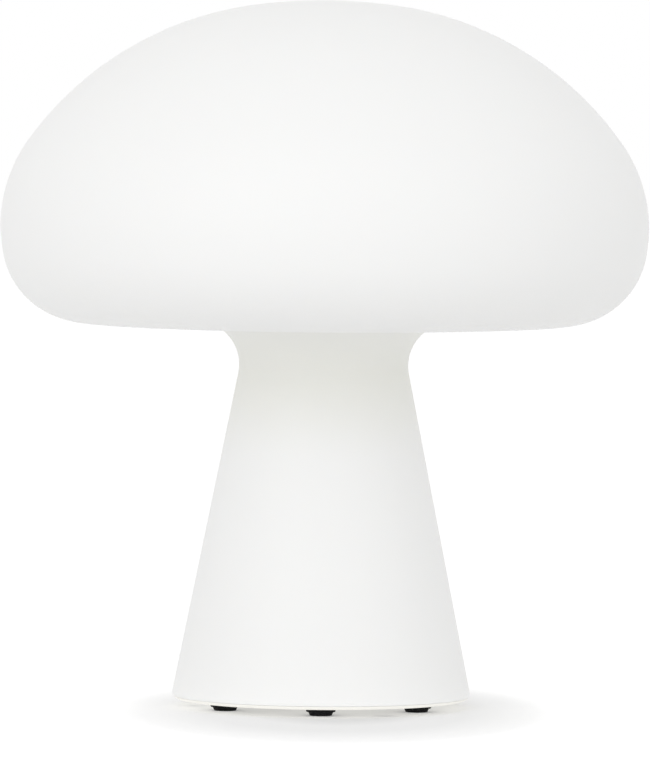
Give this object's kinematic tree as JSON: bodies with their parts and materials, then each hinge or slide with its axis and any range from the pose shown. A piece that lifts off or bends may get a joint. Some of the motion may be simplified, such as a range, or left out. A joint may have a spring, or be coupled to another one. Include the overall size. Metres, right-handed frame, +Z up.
{
  "type": "mushroom table lamp",
  "caption": "Rechargeable mushroom-shaped table lamp: opal cap and tapered stem in one shell, over a light column on a screwed base with rubber feet.",
  "frame": {"origin": "on the table, under the lamp's axis of rotation", "axes": "+Z up along the lamp's axis; +Y towards the charging port at the back; the pictured front faces -Y"},
  "size_m": [0.2258, 0.2258, 0.2465],
  "materials": {
    "opal_shell": "seamless opal white, matt",
    "cover_plastic": "moulded cream white, matt",
    "inner_plastic": "moulded white, matt",
    "black_rubber": "matt black rubber",
    "white_silicone": "soft white silicone",
    "grey_plastic": "moulded grey, satin",
    "black_plastic": "moulded black",
    "green_board": "glass-fibre board with green solder mask",
    "white_board": "aluminium-core board with white solder mask",
    "steel": "zinc-plated steel",
    "nickel": "nickel strip",
    "aluminium": "turned aluminium",
    "solder": "tin solder",
    "cell_film": "metal can in blue shrink film",
    "foam": "dark foam rubber",
    "frosted_dome": "frosted, lets light through",
    "light_chip": "yellow phosphor in a white frame",
    "ivory_plastic": "moulded ivory",
    "red_sleeve": "red insulation",
    "black_sleeve": "black insulation"
  },
  "bodies": {
    "lamp": {"lamp_shell": "opal_shell", "base_cover": "cover_plastic", "base_collar": "inner_plastic", "base_seal": "white_silicone", "rubber_foot_1": "black_rubber", "rubber_foot_2": "black_rubber", "rubber_foot_3": "black_rubber", "rubber_foot_4": "black_rubber", "rubber_foot_5": "black_rubber", "rubber_foot_6": "black_rubber", "push_switch": "black_plastic", "control_board": "green_board", "charging_chip": "black_plastic", "driver_chip": "black_plastic", "power_inductor": "black_plastic", "charge_light": "light_chip", "chip_capacitors": "ivory_plastic", "usb_socket_shell": "steel", "usb_socket_tongue": "black_plastic", "port_sleeve": "white_silicone", "battery_tray": "inner_plastic", "light_column": "inner_plastic", "battery_cell_left": "cell_film", "battery_cell_right": "cell_film", "cell_strip_lower": "nickel", "cell_strip_upper": "nickel", "battery_pads_lower": "foam", "battery_pads_upper": "foam", "heat_sink": "aluminium", "light_board": "white_board", "light_chips_outer": "light_chip", "light_chips_inner": "light_chip", "light_diffuser": "frosted_dome", "light_solder": "solder", "cover_screws": "steel", "column_screws": "steel", "board_screws": "steel", "light_board_screws": "steel", "light_socket": "ivory_plastic", "battery_socket": "ivory_plastic", "light_plug": "ivory_plastic", "battery_plug": "ivory_plastic", "light_lead_red": "red_sleeve", "light_lead_black": "black_sleeve", "battery_lead_red": "red_sleeve", "battery_lead_black": "black_sleeve"},
    "button": {"power_button": "grey_plastic", "switch_plunger": "black_plastic"}
  },
  "joints": [
    {"name": "power_button_press", "type": "slide", "parent": "lamp", "child": "button", "axis": [0, 0, 1], "range_m": [0, 0.0008], "stiffness_N_per_m": 1500, "springref_m": -0.0005}
  ]
}
